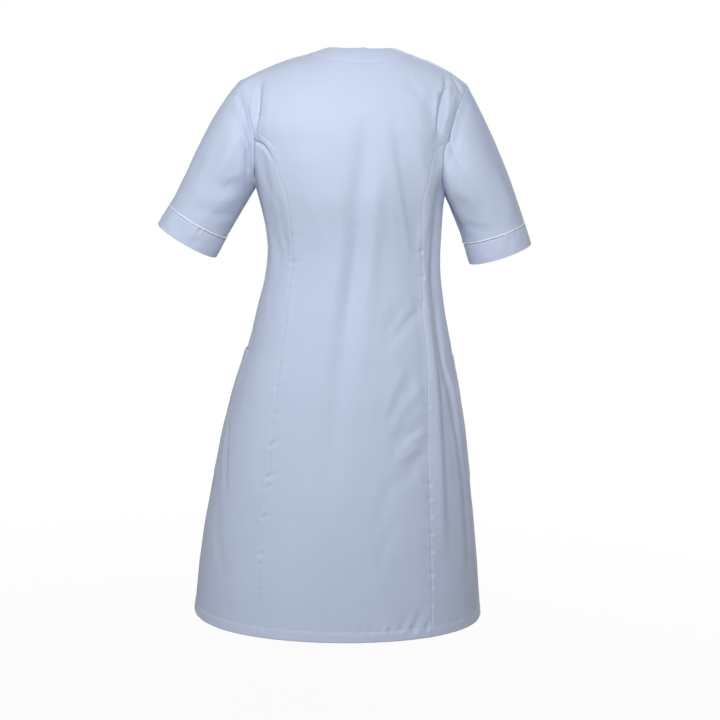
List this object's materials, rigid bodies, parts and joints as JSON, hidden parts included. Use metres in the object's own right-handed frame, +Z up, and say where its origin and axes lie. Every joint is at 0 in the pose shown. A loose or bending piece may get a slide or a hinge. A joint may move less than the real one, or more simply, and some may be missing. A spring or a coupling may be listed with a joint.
{
  "type": "work blouse",
  "caption": "Knee-length short-sleeved work blouse in thin cloth, princess-seamed, with a banded V neck, buttoned front, patch pockets and piped cuffs.",
  "frame": {"origin": "midway between the shoulder seams, level with the top of the neckband, where the wearer's shoulders hold the garment up", "axes": "+Z up; the front faces -Y and the back +Y; +X is the wearer's left"},
  "size_m": [0.6659, 0.3643, 1.0175],
  "materials": {
    "cloth": "smooth plain-woven poly-cotton, pale blue, soft sheen",
    "piping": "white piping cord",
    "button": "satin"
  },
  "bodies": {
    "root": {"back_center": "cloth", "side_back_left": "cloth", "side_back_right": "cloth", "side_front_left": "cloth", "side_front_right": "cloth", "front_left": "cloth", "front_right": "cloth", "placket_left": "cloth", "placket_right": "cloth", "neckband": "cloth", "sleeve_left": "cloth", "sleeve_right": "cloth", "cuff_left": "cloth", "cuff_right": "cloth", "pocket_left": "cloth", "pocket_right": "cloth", "cuff_piping_left": "piping", "cuff_piping_right": "piping", "button_1": "button", "button_2": "button", "button_3": "button", "button_4": "button", "button_5": "button", "button_6": "button", "button_7": "button"}
  },
  "joints": []
}
